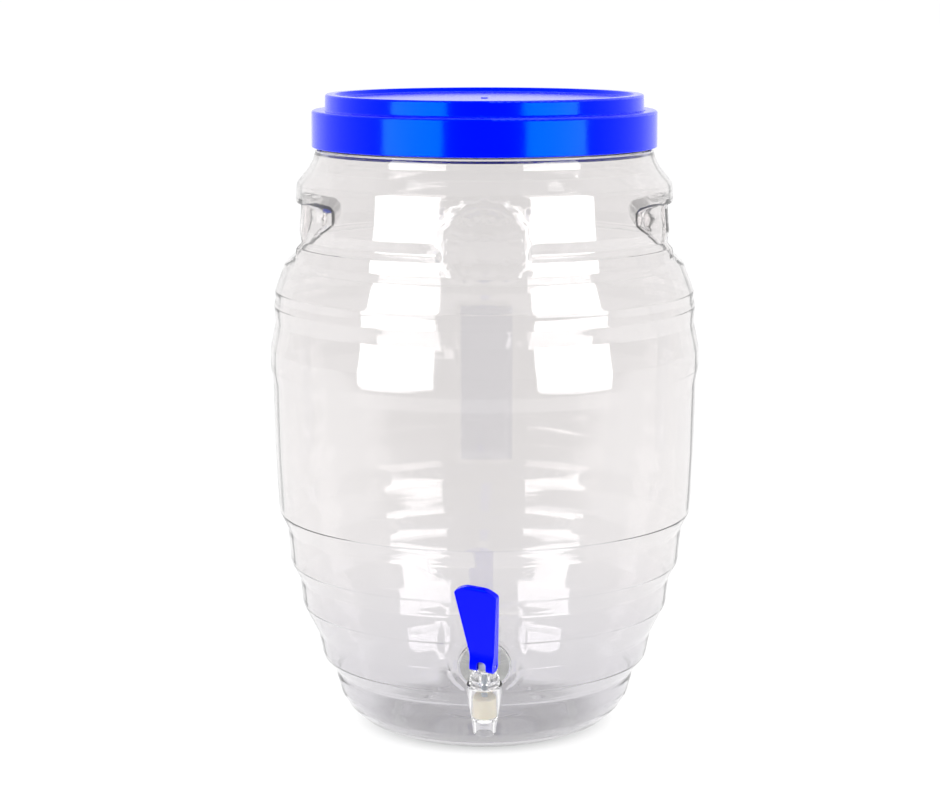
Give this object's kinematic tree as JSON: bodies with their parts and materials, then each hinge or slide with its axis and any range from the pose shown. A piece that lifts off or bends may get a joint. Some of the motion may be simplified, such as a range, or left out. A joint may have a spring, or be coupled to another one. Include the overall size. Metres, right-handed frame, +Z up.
{
  "type": "drinks dispenser jar with screw lid and lever tap",
  "caption": "Clear barrel-shaped drinks dispenser with finger grips, a blue two-tier screw lid and a clear lever tap with a blue handle.",
  "frame": {"origin": "on the jar's axis, in the plane that the standing ring rests on", "axes": "+Z up along the jar's axis, -Y towards the tap at the front, +X to the right seen from the front"},
  "size_m": [0.2888, 0.3285, 0.428],
  "materials": {
    "jar_clear": "clear polished",
    "lid_blue": "satin gloss",
    "tap_clear": "clear polished",
    "lever_blue": "gloss",
    "stem_grey": "satin",
    "silicone": "matt",
    "seal_white": "matt",
    "nut_white": "satin",
    "pin_steel": "bright"
  },
  "bodies": {
    "jar": {"jar_body": "jar_clear", "tap_body": "tap_clear", "tap_bonnet": "tap_clear", "outer_washer": "seal_white", "inner_washer": "seal_white", "shank_nut": "nut_white"},
    "seal": {"lid_seal": "seal_white"},
    "lid": {"lid": "lid_blue"},
    "valve": {"tap_stem": "stem_grey", "seat_cup": "silicone", "lever_pin": "pin_steel"},
    "lever": {"tap_lever": "lever_blue"}
  },
  "joints": [
    {"name": "lid_lift", "type": "slide", "parent": "jar", "child": "seal", "axis": [0, 0, 1], "range_m": [0, 0.045]},
    {"name": "lid_turn", "type": "hinge", "parent": "seal", "child": "lid", "pos_m": [0, 0, 0.4], "axis": [0, 0, 1], "range_deg": [0, 1800]},
    {"name": "stem_lift", "type": "slide", "parent": "jar", "child": "valve", "axis": [0, -0.2079, 0.9781], "range_m": [0, 0.0033], "stiffness_N_per_m": 2, "springref_m": 0.0628},
    {"name": "lever_tilt", "type": "hinge", "parent": "valve", "child": "lever", "pos_m": [0, -0.15508, 0.08121], "axis": [0.9272, -0.3664, -0.0779], "range_deg": [0, 55], "stiffness_Nm_per_rad": 0.05, "springref_deg": -17.19}
  ],
  "couplings": [
    {"joint": "lid_lift", "follows": "lid_turn", "m_per_rad": 0.0014324},
    {"joint": "stem_lift", "follows": "lever_tilt", "m_per_rad": 0.0034}
  ]
}
